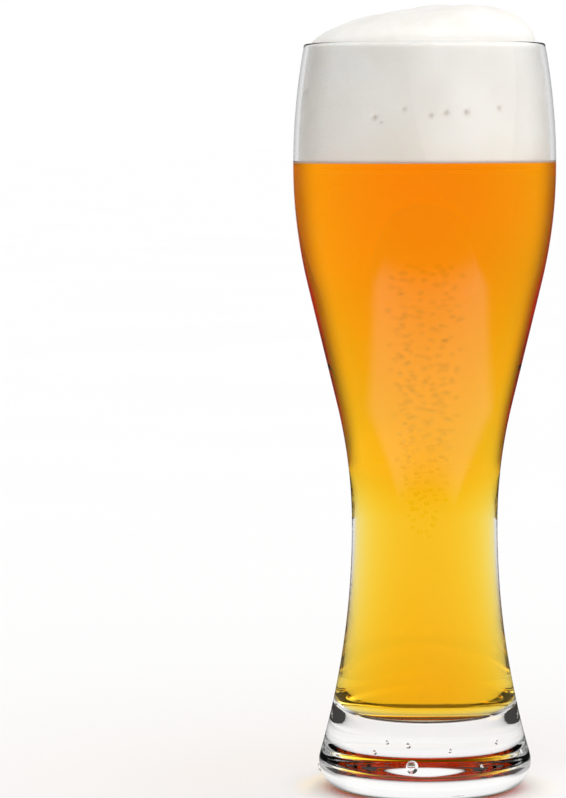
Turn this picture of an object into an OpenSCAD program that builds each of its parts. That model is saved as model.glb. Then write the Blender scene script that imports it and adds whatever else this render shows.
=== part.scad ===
// Weizen glass filled with wheat beer under a head of foam.
// The glass is turned about the Z axis and stands with its foot on Z = 0.
// Its lower part is thick and pressed, its upper part thin and blown, in one piece.

/* [Outline] */
// Height from the table to the rim
total_h = 246.5; // [230:0.5:260]
// Outer diameter at the rim
rim_d = 79.4; // [76:0.2:83]
// Outer diameter at the belly, the widest place
belly_d = 86.6; // [84:0.2:92]
// Height of the belly above the table
belly_h = 206.5; // [195:0.5:214]
// Length of the straight flank between belly and waist
flank_len = 42; // [20:1:60]
// Radius of the hollow outline between flank and waist
waist_arc = 168; // [120:2:200]
// Outer diameter at the waist, the narrowest place
waist_d = 48.2; // [44:0.2:52]
// Height of the waist above the table
waist_h = 88; // [78:0.5:96]
// Outer diameter of the foot
foot_d = 70.5; // [66:0.5:78]
// Radius of the foot's rounded edge
foot_edge = 9; // [3:0.25:10]

/* [Walls] */
// Thickness of the thin upper wall
bowl_wall = 1.6; // [1.2:0.1:2.4]
// Thickness of the thick lower wall
base_wall = 6.7; // [4:0.1:8]
// Height at which the wall starts to thicken downwards
shoulder_h = 109; // [100:1:117]
// Height over which the wall thickens
shoulder_len = 21; // [12:1:30]
// Thickness of the solid glass between table and floor
floor_h = 24; // [16:0.5:28]
// Radius between the floor and the wall
floor_corner = 5; // [4:0.5:10]
// Diameter of the hollow under the foot
punt_d = 45; // [30:1:50]
// Depth of the hollow under the foot
punt_depth = 4.25; // [0.5:0.25:6]

/* [Filling] */
// Height of the beer line above the table
beer_h = 207.5; // [180:0.5:225]
// Clearance between the filling and the glass
fill_gap = 0.1; // [0.05:0.01:0.3]
// Depth of the foam's flat brim below the rim
brim_drop = 0.5; // [0.2:0.1:4]
// Width of the flat brim on the crown's gentle side
brim_gentle = 0.6; // [0.5:0.1:8]
// Width of the flat brim on the crown's steep side
brim_steep = 1.5; // [0.5:0.1:8]
// Height of the crown above its brim
crown_h = 13; // [4:0.5:20]
// Distance of the crown's peak from the axis, towards the steep side
peak_x = 14; // [0:1:20]
// Height of the billows on the crown
billow_h = 0.7; // [0:0.1:1.5]
// Spacing of the billows on the crown
billow_pitch = 24; // [15:1:40]

/* [Hidden] */
$fn = 128;

// Largest height between two points of an outline, and between two rings of the foam's side
outline_step = 3;
foam_step = 8;
// Points on each rounded edge
edge_points = 14;
// Sides and rings of the foam's crown
crown_sides = 72;
crown_rings = 12;
// Roundness of the crown between its sides, and its change from one side to the other
crown_round = 0.55;
crown_lean = 0.1;
// Where the billows start across the crown, as angles
billow_start = [60, 20];

rim_r = rim_d / 2;
belly_r = belly_d / 2;
waist_r = waist_d / 2;
foot_r = foot_d / 2;
punt_r = punt_d / 2;
lip_r = bowl_wall / 2;
lip_z = total_h - lip_r;

// The upper outline is one curve, upright at the belly
top_rise = lip_z - belly_h;
top_in = belly_r - rim_r;

// Belly arc, straight flank and waist arc run into each other without a corner
flank_rise = belly_h - waist_h;
flank_in = belly_r - waist_r;
flank_a = 2 * atan(flank_in / (flank_rise + flank_len));
belly_arc = (flank_rise - flank_len * cos(flank_a)) / sin(flank_a) - waist_arc;
flank_top = belly_h - belly_arc * sin(flank_a);
flank_low = waist_h + waist_arc * sin(flank_a);
flank_low_r = waist_r + waist_arc * (1 - cos(flank_a));

// The flare is one arc, upright at the waist, that touches the foot's rounded edge
edge_x = foot_r - foot_edge;
edge_rise = waist_h - foot_edge;
edge_in = foot_r - waist_r;
flare_arc = ((edge_in - foot_edge) ^ 2 + edge_rise ^ 2 - foot_edge ^ 2) / (2 * edge_in);
edge_a = asin(edge_rise / (flare_arc + foot_edge));
flare_low = foot_edge + foot_edge * sin(edge_a);

// The hollow under the foot is a shallow dome
punt_arc = (punt_r ^ 2 + punt_depth ^ 2) / (2 * punt_depth);
punt_a = acos(punt_r / punt_arc);

// The floor's corner touches the floor and the flaring wall
corner_z = floor_h + floor_corner;
corner_a = asin((waist_h - corner_z) / flare_arc);
corner_top = corner_z + floor_corner * sin(corner_a);
corner_x = inner_r(corner_top) - floor_corner * cos(corner_a);

// The foam's brim lies flat inside the rim, and the crown rises from it off centre
brim_z = total_h - brim_drop;
brim_r = inner_r(brim_z) - fill_gap;
crown_r = brim_r - (brim_gentle + brim_steep) / 2;
crown_x = (brim_gentle - brim_steep) / 2;

function leg(long_side, side) = sqrt(long_side ^ 2 - side ^ 2);

function ease(t) = t <= 0 ? 0 : t >= 1 ? 1 : t * t * (3 - 2 * t);

// Outer radius of the glass at a height
function outer_r(z) =
    z > belly_h ? belly_r - top_in * ((z - belly_h) / top_rise) ^ 2 :
    z > flank_top ? belly_r - belly_arc + leg(belly_arc, z - belly_h) :
    z > flank_low ? flank_low_r + (z - flank_low) * tan(flank_a) :
    z > waist_h ? waist_r + waist_arc - leg(waist_arc, z - waist_h) :
    waist_r + flare_arc - leg(flare_arc, z - waist_h);

// Wall thickness and inner radius of the glass at a height
function wall(z) = bowl_wall + (base_wall - bowl_wall) * ease((shoulder_h - z) / shoulder_len);
function inner_r(z) = outer_r(z) - wall(z);

// Heights above low, up to high, no further apart than a step
function heights(low, high, step = outline_step) =
    let (count = ceil((high - low) / step))
    [for (i = [1 : count]) low + (high - low) * i / count];

function arc(centre, radius, from_a, to_a, count = edge_points) =
    [for (i = [0 : count]) let (a = from_a + (to_a - from_a) * i / count)
        centre + radius * [cos(a), sin(a)]];

function reversed(list) = [for (i = [len(list) - 1 : -1 : 0]) list[i]];

function inside_ends(list) = [for (i = [1 : len(list) - 2]) list[i]];

// Outline of the hollow from the middle of its floor up to a height, drawn in by a gap
function cavity(top, gap) = concat(
    [[0, floor_h + gap]],
    arc([corner_x, corner_z], floor_corner - gap, -90, corner_a),
    [for (z = heights(corner_top, top)) [inner_r(z) - gap, z]]);

function glass_outline() = concat(
    arc([0, punt_depth - punt_arc], punt_arc, 90, punt_a),
    arc([edge_x, foot_edge], foot_edge, -90, edge_a),
    [for (z = heights(flare_low, lip_z)) [outer_r(z), z]],
    inside_ends(arc([rim_r - lip_r, lip_z], lip_r, 0, 180)),
    reversed(cavity(lip_z, 0)));

// Point of the crown in direction a, from its peak at t = 0 to its foot at t = 1
function crown_point(a, t) =
    let (foot = [crown_x + crown_r * cos(a), crown_r * sin(a)],
         flat = [peak_x, 0] * (1 - t) + foot * t,
         roundness = crown_round - crown_lean * cos(a),
         wave = flat * 360 / billow_pitch + billow_start,
         billow = billow_h * (1 - t) * sin(wave.x) * cos(wave.y))
    [flat.x, flat.y, brim_z + crown_h * (1 - t * t) ^ roundness + billow];

function side_a(i) = 360 * i / crown_sides;

module glass() {
    color([0.82, 0.88, 0.9, 0.4])
        rotate_extrude() polygon(glass_outline());
}

module beer() {
    color([0.95, 0.6, 0.06])
        rotate_extrude() polygon(concat([[0, beer_h]], cavity(beer_h, fill_gap)));
}

// Foam from the beer line to its crown, as rings of points joined by faces
module foam_head() {
    wall_z = concat([beer_h], heights(beer_h, brim_z, foam_step));
    wall_rings = [for (z = wall_z, i = [0 : crown_sides - 1])
        [(inner_r(z) - fill_gap) * cos(side_a(i)), (inner_r(z) - fill_gap) * sin(side_a(i)), z]];
    rings_of_crown = [for (k = [crown_rings : -1 : 1], i = [0 : crown_sides - 1])
        crown_point(side_a(i), k / crown_rings)];
    ring_count = len(wall_z) + crown_rings;
    peak = ring_count * crown_sides;
    last_ring = peak - crown_sides;
    floor_face = [for (i = [0 : crown_sides - 1]) i];
    ring_faces = [for (k = [0 : ring_count - 2], i = [0 : crown_sides - 1])
        let (low = k * crown_sides, high = low + crown_sides, j = (i + 1) % crown_sides)
        each [[low + i, high + i, high + j], [low + i, high + j, low + j]]];
    peak_faces = [for (i = [0 : crown_sides - 1])
        [last_ring + i, peak, last_ring + (i + 1) % crown_sides]];
    color([0.96, 0.94, 0.9])
        polyhedron(concat(wall_rings, rings_of_crown, [crown_point(0, 0)]),
                   concat([floor_face], ring_faces, peak_faces));
}

glass();
beer();
foam_head();
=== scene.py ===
import math
import random

import bpy
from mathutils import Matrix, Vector, noise


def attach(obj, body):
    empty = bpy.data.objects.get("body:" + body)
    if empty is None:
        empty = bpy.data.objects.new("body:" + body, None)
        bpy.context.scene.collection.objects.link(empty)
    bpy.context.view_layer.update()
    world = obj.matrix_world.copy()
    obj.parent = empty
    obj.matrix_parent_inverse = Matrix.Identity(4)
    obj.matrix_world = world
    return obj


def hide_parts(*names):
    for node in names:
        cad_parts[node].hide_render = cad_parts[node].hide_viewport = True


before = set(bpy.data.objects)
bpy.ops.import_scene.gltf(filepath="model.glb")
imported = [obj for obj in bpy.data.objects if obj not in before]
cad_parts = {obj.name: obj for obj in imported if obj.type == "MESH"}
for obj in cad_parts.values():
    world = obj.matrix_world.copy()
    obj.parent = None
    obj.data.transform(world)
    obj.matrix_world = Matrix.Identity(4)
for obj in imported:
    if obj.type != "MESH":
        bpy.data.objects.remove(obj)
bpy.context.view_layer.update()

scene = bpy.context.scene
MM = 0.001
WHITE = (1.0, 1.0, 1.0)
# Points closer than this are one
NEAR = 1e-6

# The turned pieces: sides of a full turn, and points put into each step of a CAD outline
SIDES = 192
OUTLINE_SPLIT = 2
# A turn of the outline sharper than this stays a corner
CORNER = math.radians(15)

# The foam's crown, as in the CAD source
BRIM_GENTLE = 0.6 * MM
BRIM_STEEP = 1.5 * MM
CROWN_H = 13 * MM
PEAK_X = 14 * MM
BILLOW_H = 0.7 * MM
BILLOW_PITCH = 24 * MM
CROWN_ROUND = 0.55
CROWN_LEAN = 0.1
BILLOW_START = (math.radians(60), math.radians(20))
# Finer lumps on the crown: height of the coarse and the small ones, and how many to a metre
COARSE_LUMP_H = 0.3 * MM
COARSE_LUMP_PITCH = 160
SMALL_LUMP_H = 0.12 * MM
SMALL_LUMP_PITCH = 420
# The lumps fade out below this rise of the crown
LUMP_FADE = 2 * MM


def smooth(t):
    t = min(1.0, max(0.0, t))
    return t * t * (3 - 2 * t)


def seam(node):
    """The points of a CAD node's outline on its seam, in order, as (radius, height)."""
    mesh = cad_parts[node].data
    at = {}
    for v in mesh.vertices:
        if abs(v.co.y) < NEAR and v.co.x > -NEAR:
            at[v.index] = (round(v.co.x, 6), round(v.co.z, 6))
    links = {}
    for e in mesh.edges:
        a, b = (at.get(i) for i in e.vertices)
        if a and b and a != b:
            links.setdefault(a, set()).add(b)
            links.setdefault(b, set()).add(a)
    ends = sorted((p for p in links if len(links[p]) == 1), key=lambda p: p[1])
    chain = [ends[0]]
    while True:
        on = [p for p in links[chain[-1]] if p not in chain[-2:]]
        if not on:
            return [Vector(p) for p in chain]
        chain.append(on[0])


def fine(points, split=OUTLINE_SPLIT):
    """The outline with more points on a smooth curve through the given ones."""
    count = len(points)
    steps = [(points[i + 1] - points[i]).length for i in range(count - 1)]
    slopes = [(points[i + 1] - points[i]) / steps[i] for i in range(count - 1)]
    before, after = [], []
    for i in range(count):
        left = slopes[max(0, i - 1)]
        right = slopes[min(count - 2, i)]
        if 0 < i < count - 1 and left.angle(right) < CORNER:
            h0, h1 = steps[i - 1], steps[i]
            left = right = (left * h1 + right * h0) / (h0 + h1)
        before.append(left)
        after.append(right)
    out = [points[0].copy()]
    for i in range(count - 1):
        p, q, h = points[i], points[i + 1], steps[i]
        for k in range(1, split + 1):
            t = k / split
            out.append(
                p * (2 * t**3 - 3 * t**2 + 1)
                + after[i] * h * (t**3 - 2 * t**2 + t)
                + q * (3 * t**2 - 2 * t**3)
                + before[i + 1] * h * (t**3 - t**2)
            )
    return out


def add_object(name, verts, faces, materials, face_material=None):
    mesh = bpy.data.meshes.new(name)
    mesh.from_pydata([tuple(v) for v in verts], [], faces)
    for m in materials:
        mesh.materials.append(m)
    if face_material:
        mesh.polygons.foreach_set("material_index", face_material)
    mesh.polygons.foreach_set("use_smooth", [True] * len(mesh.polygons))
    mesh.update()
    obj = bpy.data.objects.new(name, mesh)
    scene.collection.objects.link(obj)
    return obj


def turned(points, sides=SIDES, material_of=None):
    """Vertices, faces and material numbers of an outline turned about Z. It runs from axis to axis."""
    verts, rings = [], []
    for p in points:
        if p.x < NEAR:
            rings.append([len(verts)] * sides)
            verts.append((0, 0, p.y))
            continue
        rings.append(list(range(len(verts), len(verts) + sides)))
        for j in range(sides):
            a = 2 * math.pi * j / sides
            verts.append((p.x * math.cos(a), p.x * math.sin(a), p.y))
    faces, numbers = [], []
    for i in range(len(points) - 1):
        low, high = rings[i], rings[i + 1]
        number = material_of(points[i], points[i + 1], i) if material_of else 0
        for j in range(sides):
            k = (j + 1) % sides
            face = [low[j], low[k], high[k], high[j]]
            face = [v for n, v in enumerate(face) if v not in face[:n]]
            faces.append(face)
            numbers.append(number)
    return verts, faces, numbers


class Nodes:
    """A material's node tree, with short calls for its nodes and links."""

    def __init__(self, name):
        self.material = bpy.data.materials.new(name)
        self.material.use_nodes = True
        self.tree = self.material.node_tree
        self.tree.nodes.clear()
        self.out = self.add("ShaderNodeOutputMaterial")

    def add(self, kind, **values):
        node = self.tree.nodes.new(kind)
        for key, value in values.items():
            if key in node.inputs:
                node.inputs[key].default_value = value
            else:
                setattr(node, key, value)
        return node

    def link(self, a, b):
        self.tree.links.new(a, b)

    def coords(self):
        return self.add("ShaderNodeTexCoord").outputs["Object"]

    def noise(self, scale, detail=3.0, rough=0.5):
        node = self.add("ShaderNodeTexNoise", Scale=scale, Detail=detail, Roughness=rough)
        self.link(self.coords(), node.inputs["Vector"])
        return node.outputs["Fac"]

    def ramp(self, value, stops):
        node = self.add("ShaderNodeValToRGB")
        ramp = node.color_ramp
        while len(ramp.elements) < len(stops):
            ramp.elements.new(1.0)
        for element, (place, colour) in zip(ramp.elements, stops):
            element.position = place
            element.color = (*colour, 1.0)
        self.link(value, node.inputs["Fac"])
        return node.outputs["Color"]

    def bump(self, height, strength, distance, before=None):
        node = self.add("ShaderNodeBump", Strength=strength, Distance=distance)
        self.link(height, node.inputs["Height"])
        if before:
            self.link(before, node.inputs["Normal"])
        return node.outputs["Normal"]


def glass_material(name, ior):
    n = Nodes(name)
    shader = n.add("ShaderNodeBsdfPrincipled", Roughness=0.0, IOR=ior)
    shader.inputs["Transmission Weight"].default_value = 1.0
    tint = n.ramp(n.noise(35.0), [(0.3, (0.994, 0.997, 0.995)), (0.7, WHITE)])
    n.link(tint, shader.inputs["Base Color"])
    n.link(n.bump(n.noise(60.0, 1.0), 0.04, 0.00005), shader.inputs["Normal"])
    n.link(shader.outputs["BSDF"], n.out.inputs["Surface"])
    return n.material


def beer_material():
    n = Nodes("wheat_beer")
    shader = n.add("ShaderNodeBsdfPrincipled", Roughness=0.0, IOR=1.0)
    shader.inputs["Transmission Weight"].default_value = 1.0
    tint = n.ramp(n.noise(24.0), [(0.3, (0.998, 0.99, 0.97)), (0.7, WHITE)])
    n.link(tint, shader.inputs["Base Color"])
    n.link(shader.outputs["BSDF"], n.out.inputs["Surface"])
    volume = n.add("ShaderNodeVolumeAbsorption", Density=120.0)
    volume.inputs["Color"].default_value = (0.998, 0.862, 0.0, 1.0)
    n.link(volume.outputs["Volume"], n.out.inputs["Volume"])
    return n.material


def bubble_material():
    n = Nodes("bubble_wall")
    shader = n.add("ShaderNodeBsdfPrincipled", Roughness=0.0, IOR=1.015)
    shader.inputs["Transmission Weight"].default_value = 1.0
    tint = n.ramp(n.noise(300.0), [(0.3, (0.93, 0.93, 0.4)), (0.7, (0.97, 0.97, 0.6))])
    n.link(tint, shader.inputs["Base Color"])
    n.link(shader.outputs["BSDF"], n.out.inputs["Surface"])
    return n.material


# Height of the foam's lowest part, which has painted shade
FOAM_SHADE_H = 30 * MM


def foam_material(low):
    """Fine froth, with painted shade: a little darker and warmer in its lowest part, and darker in its pits.
    """
    n = Nodes("foam")
    shader = n.add("ShaderNodeBsdfPrincipled", Roughness=0.75)
    shader.inputs["Specular IOR Level"].default_value = 0.25
    shader.inputs["Subsurface Weight"].default_value = 0.4
    shader.inputs["Subsurface Radius"].default_value = (1.0, 0.85, 0.7)
    shader.inputs["Subsurface Scale"].default_value = 0.003
    colour = n.ramp(n.noise(45.0, 4.0), [
        (0.30, (0.87, 0.835, 0.785)),
        (0.55, (0.93, 0.905, 0.865)),
        (0.75, (0.96, 0.945, 0.915)),
    ])
    # Painted shade in the broken bubbles' pits, mixed towards a dark warm grey
    pit = n.add("ShaderNodeAttribute", attribute_name="pit")
    mix = n.add("ShaderNodeMix", data_type="RGBA")
    n.link(pit.outputs["Fac"], mix.inputs["Factor"])
    n.link(colour, mix.inputs["A"])
    mix.inputs["B"].default_value = (0.66, 0.61, 0.55, 1.0)
    height = n.add("ShaderNodeSeparateXYZ")
    n.link(n.coords(), height.inputs["Vector"])
    rise = n.add("ShaderNodeMapRange")
    rise.inputs["From Min"].default_value = low
    rise.inputs["From Max"].default_value = low + FOAM_SHADE_H
    n.link(height.outputs["Z"], rise.inputs["Value"])
    # Painted shade: the foam a little darker and warmer towards its bottom than on its crown
    wet = n.add("ShaderNodeMix", data_type="RGBA", blend_type="MULTIPLY")
    wet.inputs["Factor"].default_value = 1.0
    n.link(mix.outputs["Result"], wet.inputs["A"])
    painted_low_shade = n.ramp(rise.outputs["Result"], [(0.0, (0.92, 0.885, 0.84)), (1.0, WHITE)])
    n.link(painted_low_shade, wet.inputs["B"])
    n.link(wet.outputs["Result"], shader.inputs["Base Color"])
    cells = n.add("ShaderNodeTexVoronoi", feature="SMOOTH_F1", Scale=1300.0)
    n.link(n.coords(), cells.inputs["Vector"])
    lumps = n.bump(n.noise(220.0, 4.0), 0.25, 0.0006)
    n.link(n.bump(cells.outputs["Distance"], 0.25, 0.0003, lumps), shader.inputs["Normal"])
    n.link(shader.outputs["BSDF"], n.out.inputs["Surface"])
    return n.material


# Seen through the glass, the floor has painted shade inside the first radius and is white beyond the second;
# mirrored in the glass, it has that painted shade inside the first radius
FOOT_SHADE_IN = 28 * MM
FOOT_SHADE_OUT = 44 * MM
# How much of the floor seen through the glass is that painted shade or that white, and not lit by the lamps
PAINTED_SHADE_SHARE = 0.95
WHITE_SHARE = 0.6


def floor_material():
    """Pale and plain for the camera; through the glass it glows white with painted shade under the foot, and
    mirrored in the glass it shows that painted shade.
    """
    n = Nodes("pale_floor")
    shader = n.add("ShaderNodeBsdfPrincipled", Roughness=0.8)
    shader.inputs["Specular IOR Level"].default_value = 0.0
    pale = n.ramp(n.noise(3.0), [(0.3, (0.968, 0.968, 0.967)), (0.7, (0.978, 0.978, 0.977))])
    n.link(pale, shader.inputs["Base Color"])
    white = n.add("ShaderNodeEmission", Strength=1.0)
    away = n.add("ShaderNodeVectorMath", operation="LENGTH")
    n.link(n.coords(), away.inputs[0])
    past = n.add("ShaderNodeMapRange", interpolation_type="SMOOTHSTEP")
    past.inputs["From Min"].default_value = FOOT_SHADE_IN
    past.inputs["From Max"].default_value = FOOT_SHADE_OUT
    n.link(away.outputs["Value"], past.inputs["Value"])
    # Painted shade under the foot, turning to white further out
    shade = [(0.0, (0.06, 0.057, 0.055)), (1.0, WHITE)]
    n.link(n.ramp(past.outputs["Result"], shade), white.inputs["Color"])
    most = n.add("ShaderNodeMath", operation="MULTIPLY_ADD")
    n.link(past.outputs["Result"], most.inputs[0])
    most.inputs[1].default_value = WHITE_SHARE - PAINTED_SHADE_SHARE
    most.inputs[2].default_value = PAINTED_SHADE_SHARE
    path = n.add("ShaderNodeLightPath")
    under = n.add("ShaderNodeMath", operation="SUBTRACT")
    under.inputs[0].default_value = 1.0
    n.link(past.outputs["Result"], under.inputs[1])
    # Mirrored in the glass, the floor shows the painted shade under the foot
    mirrored = n.add("ShaderNodeMath", operation="MULTIPLY")
    n.link(path.outputs["Is Glossy Ray"], mirrored.inputs[0])
    n.link(under.outputs[0], mirrored.inputs[1])
    share = n.add("ShaderNodeMath", operation="MULTIPLY_ADD", use_clamp=True)
    n.link(path.outputs["Is Transmission Ray"], share.inputs[0])
    n.link(most.outputs[0], share.inputs[1])
    n.link(mirrored.outputs[0], share.inputs[2])
    mix = n.add("ShaderNodeMixShader")
    n.link(share.outputs[0], mix.inputs["Fac"])
    n.link(shader.outputs["BSDF"], mix.inputs[1])
    n.link(white.outputs["Emission"], mix.inputs[2])
    n.link(mix.outputs["Shader"], n.out.inputs["Surface"])
    return n.material


def flag_material():
    """Dark where the sheet's cover is 1, and clear where it is 0."""
    n = Nodes("dark_flag")
    clear = n.add("ShaderNodeBsdfTransparent")
    dark = n.add("ShaderNodeBsdfDiffuse", Color=(0.01, 0.01, 0.01, 1))
    cover = n.add("ShaderNodeAttribute", attribute_name="cover")
    mix = n.add("ShaderNodeMixShader")
    n.link(cover.outputs["Fac"], mix.inputs["Fac"])
    n.link(clear.outputs["BSDF"], mix.inputs[1])
    n.link(dark.outputs["BSDF"], mix.inputs[2])
    n.link(mix.outputs["Shader"], n.out.inputs["Surface"])
    return n.material


def set_attribute(obj, name, values):
    attribute = obj.data.attributes.new(name, "FLOAT", "POINT")
    attribute.data.foreach_set("value", [float(v) for v in values])


# The glass, turned from the CAD outline. Where beer wets it, light meets glass against beer.
GLASS_IOR = 1.5
BEER_IOR = 1.34
# Air between the beer and the foam, and the wet film on the glass above the beer
TOP_GAP = 0.05 * MM
WET_ABOVE = 1.5 * MM
glass_line = fine(seam("glass"))
glass_line.append(Vector((0.0, glass_line[-1].y)))
lip = max(range(len(glass_line)), key=lambda i: glass_line[i].y)
beer_line = fine(seam("beer"))
BEER_TOP = beer_line[-1].y - TOP_GAP
beer_line[-1] = Vector((beer_line[-1].x, BEER_TOP))
beer_line = [Vector((0.0, beer_line[0].y)), *beer_line, Vector((0.0, BEER_TOP))]


def wetted(a, b, i):
    return 1 if i > lip and max(a.y, b.y) < BEER_TOP + WET_ABOVE else 0


verts, faces, numbers = turned(glass_line, material_of=wetted)
dry = glass_material("clear_glass", GLASS_IOR)
wet = glass_material("wetted_glass", GLASS_IOR / BEER_IOR)
glass = add_object("weizen_glass", verts, faces, [dry, wet], numbers)

# The beer, with strings of gas bubbles that rise in its middle. A bubble is a cavity, so it faces inwards.
STRINGS = 30
# Heights, in mm: where strings begin at the lowest and at the highest, and where they end
STRING_LOW = 84
STRING_START = 112
STRING_TOP = 176
# Distance of the strings from the axis, which doubles on the way up, and their wander to the side, in mm
STRING_SPREAD = 5.5
STRING_WANDER = 1.2
# Radii of the bubbles and their growth on the way up, the least gap and the steps between them, in mm
BUBBLE_SIZES = (0.42, 0.78)
BUBBLE_GROWTH = 0.12
BUBBLE_GAP = 0.1
BUBBLE_STEPS = (4, 11)
random.seed(5)


def ball(centre, radius, sides=12, rows=7):
    verts = [centre + Vector((0, 0, -radius)), centre + Vector((0, 0, radius))]
    for i in range(1, rows):
        e = math.pi * (i / rows - 0.5)
        for j in range(sides):
            a = 2 * math.pi * j / sides
            out = Vector((math.cos(e) * math.cos(a), math.cos(e) * math.sin(a), math.sin(e)))
            verts.append(centre + radius * out)
    faces = []
    for j in range(sides):
        k = (j + 1) % sides
        faces.append((0, 2 + j, 2 + k))
        faces.append((1, 2 + (rows - 2) * sides + k, 2 + (rows - 2) * sides + j))
        for i in range(rows - 2):
            low, high = 2 + i * sides, 2 + (i + 1) * sides
            faces.append((low + j, high + j, high + k, low + k))
    return verts, faces


def bubbles():
    """Centres and radii of the bubbles, which grow and spread as they rise."""
    found = []
    for _ in range(STRINGS):
        turn = random.uniform(0, 2 * math.pi)
        share = math.sqrt(random.random())
        z = random.uniform(STRING_LOW, STRING_START)
        while z < STRING_TOP:
            risen = (z - STRING_LOW) / (STRING_TOP - STRING_LOW)
            spread = STRING_SPREAD * (1 + risen) * share
            x = spread * math.cos(turn) + random.gauss(0, STRING_WANDER)
            y = spread * math.sin(turn) + random.gauss(0, STRING_WANDER)
            centre = Vector((x, y, z))
            radius = random.uniform(*BUBBLE_SIZES) + BUBBLE_GROWTH * risen
            if all((centre - c).length > radius + r + BUBBLE_GAP for c, r in found):
                found.append((centre, radius))
            z += random.uniform(*BUBBLE_STEPS)
    return [(c * MM, r * MM) for c, r in found]


verts, faces, numbers = turned(beer_line)
for centre, radius in bubbles():
    more_verts, more_faces = ball(centre, radius)
    faces += [tuple(v + len(verts) for v in face) for face in more_faces]
    numbers += [1] * len(more_faces)
    verts += more_verts
beer = add_object("wheat_beer", verts, faces, [beer_material(), bubble_material()], numbers)

# The foam: its side and underside from the CAD outline, its crown finer than in the CAD
FOAM_SIDES = 320
FOAM_ROW = 0.8 * MM
CROWN_RINGS = 44
foam_seam = seam("foam_head")
brim = next(i for i in range(1, len(foam_seam)) if abs(foam_seam[i + 1].y - foam_seam[i].y) < NEAR)
foam_side = fine(foam_seam[: brim + 1], math.ceil((foam_seam[1] - foam_seam[0]).length / FOAM_ROW))
BRIM_Z = foam_side[-1].y
BRIM_R = foam_side[-1].x
FOAM_LOW = foam_side[0].y
crown_r = BRIM_R - (BRIM_GENTLE + BRIM_STEEP) / 2
crown_x = (BRIM_GENTLE - BRIM_STEEP) / 2

# Broken bubbles in the foam's front, in mm: place across it, height, radius, depth
FRONT_PITS = [
    (-15.8, 222.2, 1.2, 0.8), (-7.2, 224.7, 1.0, 0.6), (0.5, 222.8, 1.2, 0.8),
    (5.0, 223.6, 1.3, 0.9), (11.0, 223.8, 1.4, 0.9), (20.8, 225.0, 1.2, 0.7), (-14.0, 220.6, 0.7, 0.5),
]
# All broken bubbles together, with those at the sides and back, and the ranges that these are drawn from
PIT_COUNT = 26
BACK_TURN = (-0.35, math.pi + 0.35)
BACK_HEIGHTS = (216, 231)
BACK_SIZES = (0.6, 1.3)
BACK_DEPTHS = (0.4, 0.8)
# In radii of a pit: how far it reaches, and where its slope and its painted shade end
PIT_REACH = 1.6
PIT_SLOPE = 1.3
PIT_SHADE = 1.1
# Unevenness of the foam's side
SIDE_ROUGH = 0.03 * MM
SIDE_ROUGH_PITCH = 9
random.seed(11)
pits = []
for across, height, size, depth in FRONT_PITS:
    pits.append((-math.pi / 2 + math.asin(across * MM / BRIM_R), height * MM, size * MM, depth * MM))
while len(pits) < PIT_COUNT:
    a = random.uniform(*BACK_TURN)
    height = random.uniform(*BACK_HEIGHTS)
    size = random.uniform(*BACK_SIZES)
    depth = random.uniform(*BACK_DEPTHS)
    pits.append((a, height * MM, size * MM, depth * MM))


def crown_point(a, t):
    """A point of the crown, at an angle and a share of the way from its peak to its edge."""
    foot = Vector((crown_x + crown_r * math.cos(a), crown_r * math.sin(a)))
    flat = Vector((PEAK_X, 0.0)).lerp(foot, t)
    roundness = CROWN_ROUND - CROWN_LEAN * math.cos(a)
    wave = 2 * math.pi / BILLOW_PITCH
    swell = math.sin(wave * flat.x + BILLOW_START[0]) * math.cos(wave * flat.y + BILLOW_START[1])
    billow = BILLOW_H * (1 - t) * swell
    rise = CROWN_H * max(0.0, 1 - t * t) ** roundness
    coarse = COARSE_LUMP_H * noise.noise(Vector((flat.x, flat.y, 0.1)) * COARSE_LUMP_PITCH)
    small = SMALL_LUMP_H * noise.noise(Vector((flat.x, flat.y, 0.4)) * SMALL_LUMP_PITCH)
    lumps = (coarse + small) * smooth(rise / LUMP_FADE)
    return Vector((flat.x, flat.y, BRIM_Z + rise + billow + lumps))


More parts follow.
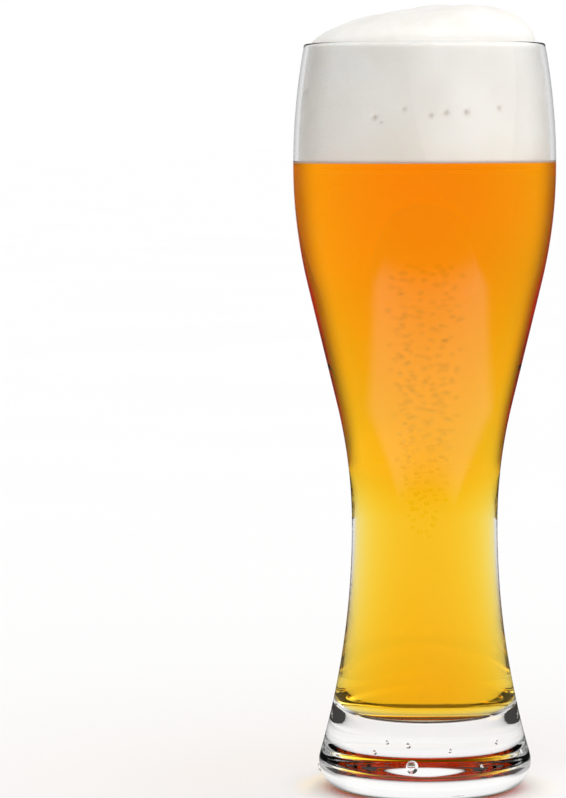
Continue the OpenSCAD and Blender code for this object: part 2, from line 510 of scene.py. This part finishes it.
def build_foam():
    """The foam in rings: outwards over its underside, up its side, and in over its crown to the peak."""
    rings, pit_shade_rings = [], []
    turn = [2 * math.pi * j / FOAM_SIDES for j in range(FOAM_SIDES)]

    def circle(r, z):
        rings.append([Vector((r * math.cos(a), r * math.sin(a), z)) for a in turn])
        pit_shade_rings.append([0.0] * FOAM_SIDES)

    for share in (0.25, 0.5, 0.75, 0.9, 0.97):
        circle(foam_side[0].x * share, FOAM_LOW)
    for p in foam_side:
        ring, pit_shade_ring = [], []
        for a in turn:
            depth, dark = 0.0, 0.0
            for pa, pz, size, deep in pits:
                across = ((a - pa + math.pi) % (2 * math.pi) - math.pi) * p.x
                away = math.hypot(across, p.y - pz) / size
                if away < PIT_REACH:
                    depth = max(depth, deep * (1 - smooth(away / PIT_SLOPE)))
                    # Painted shade in the pit, darkest at its middle
                    dark = max(dark, 1 - smooth(away / PIT_SHADE))
            where = Vector((math.cos(a), math.sin(a), p.y / p.x)) * SIDE_ROUGH_PITCH
            r = p.x - depth - SIDE_ROUGH * (1 + noise.noise(where))
            ring.append(Vector((r * math.cos(a), r * math.sin(a), p.y)))
            pit_shade_ring.append(dark)
        rings.append(ring)
        pit_shade_rings.append(pit_shade_ring)
    for share in (0.35, 0.7):
        ring = []
        for a in turn:
            edge = Vector((BRIM_R * math.cos(a), BRIM_R * math.sin(a), BRIM_Z))
            ring.append(edge.lerp(crown_point(a, 1.0), share))
        rings.append(ring)
        pit_shade_rings.append([0.0] * FOAM_SIDES)
    for k in range(CROWN_RINGS):
        t = math.cos(math.pi / 2 * k / CROWN_RINGS)
        rings.append([crown_point(a, t) for a in turn])
        pit_shade_rings.append([0.0] * FOAM_SIDES)
    verts = [v for ring in rings for v in ring]
    shade = [d for ring in pit_shade_rings for d in ring]
    faces = []
    for i in range(len(rings) - 1):
        for j in range(FOAM_SIDES):
            k = (j + 1) % FOAM_SIDES
            low, high = i * FOAM_SIDES, (i + 1) * FOAM_SIDES
            faces.append((low + j, low + k, high + k, high + j))
    low, top = len(verts), len(verts) + 1
    verts += [Vector((0, 0, FOAM_LOW)), crown_point(0.0, 0.0)]
    shade += [0.0, 0.0]
    last = (len(rings) - 1) * FOAM_SIDES
    for j in range(FOAM_SIDES):
        k = (j + 1) % FOAM_SIDES
        faces.append((low, k, j))
        faces.append((last + j, last + k, top))
    obj = add_object("beer_foam", verts, faces, [foam_material(FOAM_LOW)])
    # The pits' painted shade, read by the foam's colour
    set_attribute(obj, "pit", shade)
    return obj


foam = build_foam()

# Water drops on the outside of the foot: angle round it from the front, height, half width, bulge
DROPS = [
    (-9, 12.6, 2.0, 0.75), (-11.5, 19.3, 0.9, 0.4), (-24, 20.0, 0.7, 0.3), (-31, 16.6, 0.8, 0.35),
    (12, 17.6, 0.7, 0.3), (43, 19.0, 0.8, 0.35), (-92, 6.6, 1.3, 0.6), (30, 12.0, 0.6, 0.3),
    (66, 14.0, 0.9, 0.4), (128, 15.0, 1.1, 0.5), (171, 18.0, 0.8, 0.35), (-140, 13.0, 1.0, 0.45),
]
DROP_GAP = 0.03 * MM
DROP_RINGS = 6
DROP_SIDES = 20
# The lower half of a drop is this many times as long as the upper
DROP_SAG = 1.2
WATER_IOR = 1.33
# The glass's outer side lies beyond this radius, its underside within
FOOT_OUT = 30 * MM


def glass_side(z):
    """Outer radius and outward slope of the glass at a height on its foot."""
    for p, q in zip(glass_line, glass_line[1:lip]):
        if p.x > FOOT_OUT and p.y <= z < q.y:
            along = (q - p).normalized()
            return (p + (q - p) * (z - p.y) / (q.y - p.y)).x, Vector((along.y, -along.x))


def build_drops():
    """Flat domes of water, closed at the back, a hair off the glass."""
    verts, faces = [], []
    for angle, z, half, bulge in DROPS:
        a = math.radians(angle - 90)
        r, slope = glass_side(z * MM)
        round_ = Vector((math.cos(a), math.sin(a), 0))
        out = round_ * slope.x + Vector((0, 0, slope.y))
        across = Vector((-math.sin(a), math.cos(a), 0))
        up = out.cross(across)
        base = round_ * r + Vector((0, 0, z * MM)) + out * (DROP_GAP + (half * MM) ** 2 / (2 * r))
        first = len(verts)
        for i in range(DROP_RINGS):
            t = (i / (DROP_RINGS - 1)) * math.pi / 2
            wide, high = math.cos(t) * half * MM, math.sin(t) * bulge * MM
            for j in range(DROP_SIDES):
                b = 2 * math.pi * j / DROP_SIDES
                sag = 1.0 if math.sin(b) > 0 else DROP_SAG
                verts.append(base + across * wide * math.cos(b) + up * wide * sag * math.sin(b) + out * high)
        for i in range(DROP_RINGS - 1):
            for j in range(DROP_SIDES):
                k = (j + 1) % DROP_SIDES
                low, high = first + i * DROP_SIDES, first + (i + 1) * DROP_SIDES
                faces.append((low + j, low + k, high + k, high + j))
        faces.append(tuple(first + j for j in reversed(range(DROP_SIDES))))
    return add_object("water_drops", verts, faces, [glass_material("water", WATER_IOR)])


drops = build_drops()
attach(drops, "root")

for piece, node, slot in ((glass, "glass", "glass"), (beer, "beer", "beer"), (foam, "foam_head", "foam")):
    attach(piece, "root")
    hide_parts(node)

# Floor, and soft dark sheets round the set that show only in the glass and the beer
FLOOR_R = 60.0
bpy.ops.mesh.primitive_circle_add(vertices=96, radius=FLOOR_R, fill_type="NGON")
floor = bpy.context.object
floor.name = "floor"
floor.data.materials.append(floor_material())


def unseen(obj, glossy=False, transmission=False):
    """A stage object that only mirrored rays or only rays through the glass meet."""
    obj.visible_camera = obj.visible_diffuse = obj.visible_shadow = False
    obj.visible_glossy = glossy
    obj.visible_transmission = transmission


# The domes and flags begin this far above the floor
SHEET_LIFT = 0.002
# The domes end at this height angle, just short of the pole, in degrees
DOME_TOP = 89.5


def sheet(name, columns, closed):
    """A dark sheet from columns of (point, cover), side by side."""
    verts = [p for column in columns for p, c in column]
    cover = [c for column in columns for p, c in column]
    rows = len(columns[0])
    faces = []
    for i in range(len(columns) if closed else len(columns) - 1):
        for k in range(rows - 1):
            at, on = i * rows + k, (i + 1) % len(columns) * rows + k
            faces.append((at, at + 1, on + 1, on))
    obj = add_object(name, verts, faces, [flag_material()])
    set_attribute(obj, "cover", cover)
    return obj


def dome(name, far, cover_of, headings=96, rows=36):
    """A half sphere round the set. Headings run from +Y towards +X, in degrees."""
    columns = []
    for i in range(headings):
        heading = 360 * i / headings - 180
        h = math.radians(heading)
        column = []
        for k in range(rows + 1):
            up = DOME_TOP * k / rows
            e = math.radians(up)
            point = Vector((math.cos(e) * math.sin(h), math.cos(e) * math.cos(h), math.sin(e)))
            column.append((point * far + Vector((0, 0, SHEET_LIFT)), cover_of(heading, up)))
        columns.append(column)
    return sheet(name, columns, True)


# The upright flags behind the glass: heading, half width and soft edge in degrees, the rest in metres
FLAG_HEADING = 56
FLAG_HALF_WIDTH = 26
FLAG_SOFT = 24
FLAG_FAR = 0.9
FLAG_H = 0.8
FLAG_COVER = 0.6


def flag(name, centre, steps=32, rows=16):
    """An upright dark sheet at a heading, soft at all its edges."""
    columns = []
    for i in range(steps + 1):
        s = 2 * i / steps - 1
        a = math.radians(centre + s * FLAG_HALF_WIDTH)
        side = smooth((1 - abs(s)) * FLAG_HALF_WIDTH / FLAG_SOFT)
        column = []
        for k in range(rows + 1):
            z = SHEET_LIFT + FLAG_H * k / rows
            cover = FLAG_COVER * side * smooth(3 * k / rows) * smooth(2 * (1 - k / rows))
            column.append((Vector((FLAG_FAR * math.sin(a), FLAG_FAR * math.cos(a), z)), cover))
        columns.append(column)
    return sheet(name, columns, False)


# Cover of the ceiling, and of the room and the mat
CEILING_COVER = 0.95
ROOM_COVER = 0.985
# Heading of the key light's side, in degrees
KEY_SIDE = 130


def ceiling(heading, up):
    """Dark above the backdrop, and from higher up on the side of the key light. Angles in degrees."""
    off_key = abs((heading - KEY_SIDE + 180) % 360 - 180)
    low = 14 + 16 * (1 - smooth((off_key - 30) / 40))
    return CEILING_COVER * smooth((up - low) / 20)


def room(heading, up):
    """Dark all round but for the backdrop's window and the zenith. Angles in degrees."""
    window = (1 - smooth((abs(heading) - 5) / 10)) * (1 - smooth((up - 20) / 14))
    return ROOM_COVER * (1 - window) * (1 - smooth((up - 40) / 20))


# The white table: its edges, and how softly it ends at its sides and back and at its front
TABLE_LEFT = -0.29
TABLE_RIGHT = 0.34
TABLE_BACK = 0.06
TABLE_FRONT = -0.32
TABLE_SOFT = 0.06
TABLE_FRONT_SOFT = 0.2


def table_edge(x, y):
    """How far a place lies outside the white table: 0 on it, 1 beyond its edge."""
    sides = max(TABLE_LEFT - x, x - TABLE_RIGHT, y - TABLE_BACK) / TABLE_SOFT
    front = (TABLE_FRONT - y) / TABLE_FRONT_SOFT
    return smooth(0.5 + max(sides, front))


# The mat's rings, from this radius to so many times as much, and its height
MAT_IN = 0.04
MAT_GROWTH = 75
MAT_Z = 0.001


def mat(name, headings=144, rings=60):
    """A dark sheet on the floor all round the white table."""
    columns = []
    for i in range(headings):
        a = math.radians(360 * i / headings)
        column = []
        for k in range(rings + 1):
            r = MAT_IN * MAT_GROWTH ** (k / rings)
            x, y = r * math.sin(a), r * math.cos(a)
            column.append((Vector((x, y, MAT_Z)), ROOM_COVER * table_edge(x, y)))
        columns.append(column)
    return sheet(name, columns, True)


# Radii of the two domes
CEILING_FAR = 3.0
ROOM_FAR = 2.9
unseen(dome("ceiling", CEILING_FAR, ceiling), transmission=True)
unseen(dome("room", ROOM_FAR, room), glossy=True)
unseen(mat("mat"), glossy=True)
unseen(flag("flag_right", FLAG_HEADING), transmission=True)
unseen(flag("flag_left", -FLAG_HEADING), transmission=True)

# Light: an even white surround, and a broad soft light from above, at the front on the right
WORLD_LEVEL = 0.7
KEY_FROM = Vector((1.05, -1.25, 1.6))
KEY_AT = (0, 0, 0.15)
KEY_ENERGY = 1.5
KEY_ANGLE = math.radians(110)
world = bpy.data.worlds.new("studio")
scene.world = world
world.use_nodes = True
tree = world.node_tree
tree.nodes.clear()
path = tree.nodes.new("ShaderNodeLightPath")
seen = tree.nodes.new("ShaderNodeBackground")
seen.inputs["Strength"].default_value = 1.0
lit = tree.nodes.new("ShaderNodeBackground")
lit.inputs["Strength"].default_value = WORLD_LEVEL
for node in (seen, lit):
    node.inputs["Color"].default_value = (*WHITE, 1.0)
most = tree.nodes.new("ShaderNodeMath")
most.operation = "MAXIMUM"
more = tree.nodes.new("ShaderNodeMath")
more.operation = "MAXIMUM"
mix = tree.nodes.new("ShaderNodeMixShader")
out = tree.nodes.new("ShaderNodeOutputWorld")
tree.links.new(path.outputs["Is Camera Ray"], most.inputs[0])
tree.links.new(path.outputs["Is Glossy Ray"], most.inputs[1])
tree.links.new(most.outputs[0], more.inputs[0])
tree.links.new(path.outputs["Is Transmission Ray"], more.inputs[1])
tree.links.new(more.outputs[0], mix.inputs["Fac"])
tree.links.new(lit.outputs[0], mix.inputs[1])
tree.links.new(seen.outputs[0], mix.inputs[2])
tree.links.new(mix.outputs[0], out.inputs["Surface"])


def aim(obj, target):
    obj.rotation_mode = "QUATERNION"
    obj.rotation_quaternion = (Vector(target) - obj.location).to_track_quat("-Z", "Y")


key = bpy.data.lights.new("key", "SUN")
key.energy = KEY_ENERGY
key.angle = KEY_ANGLE
key_object = bpy.data.objects.new("key", key)
key_object.location = KEY_FROM
aim(key_object, KEY_AT)
key_object.visible_glossy = False
scene.collection.objects.link(key_object)

# Camera
FOCAL_PX = 3638.0
LONG_SIDE_PX = 798
CAMERA_AT = (-0.0465, -1.2, 0.216)
# Down from level, and about the line of sight
CAMERA_DOWN = math.radians(4.115)
CAMERA_ROLL = math.radians(0.2)
camera = bpy.data.cameras.new("camera")
camera.sensor_width = 36.0
camera.lens = FOCAL_PX / LONG_SIDE_PX * camera.sensor_width
camera.clip_start = 0.05
camera_object = bpy.data.objects.new("camera", camera)
camera_object.location = CAMERA_AT
camera_object.rotation_euler = (math.pi / 2 - CAMERA_DOWN, CAMERA_ROLL, 0.0)
scene.collection.objects.link(camera_object)
scene.camera = camera_object

scene.view_settings.view_transform = "Standard"
# Many bounces, since light crosses glass, beer, bubbles and sheets
scene.cycles.max_bounces = 40
scene.cycles.transmission_bounces = 40
scene.cycles.glossy_bounces = 20
scene.cycles.transparent_max_bounces = 24
scene.cycles.blur_glossy = 0.0
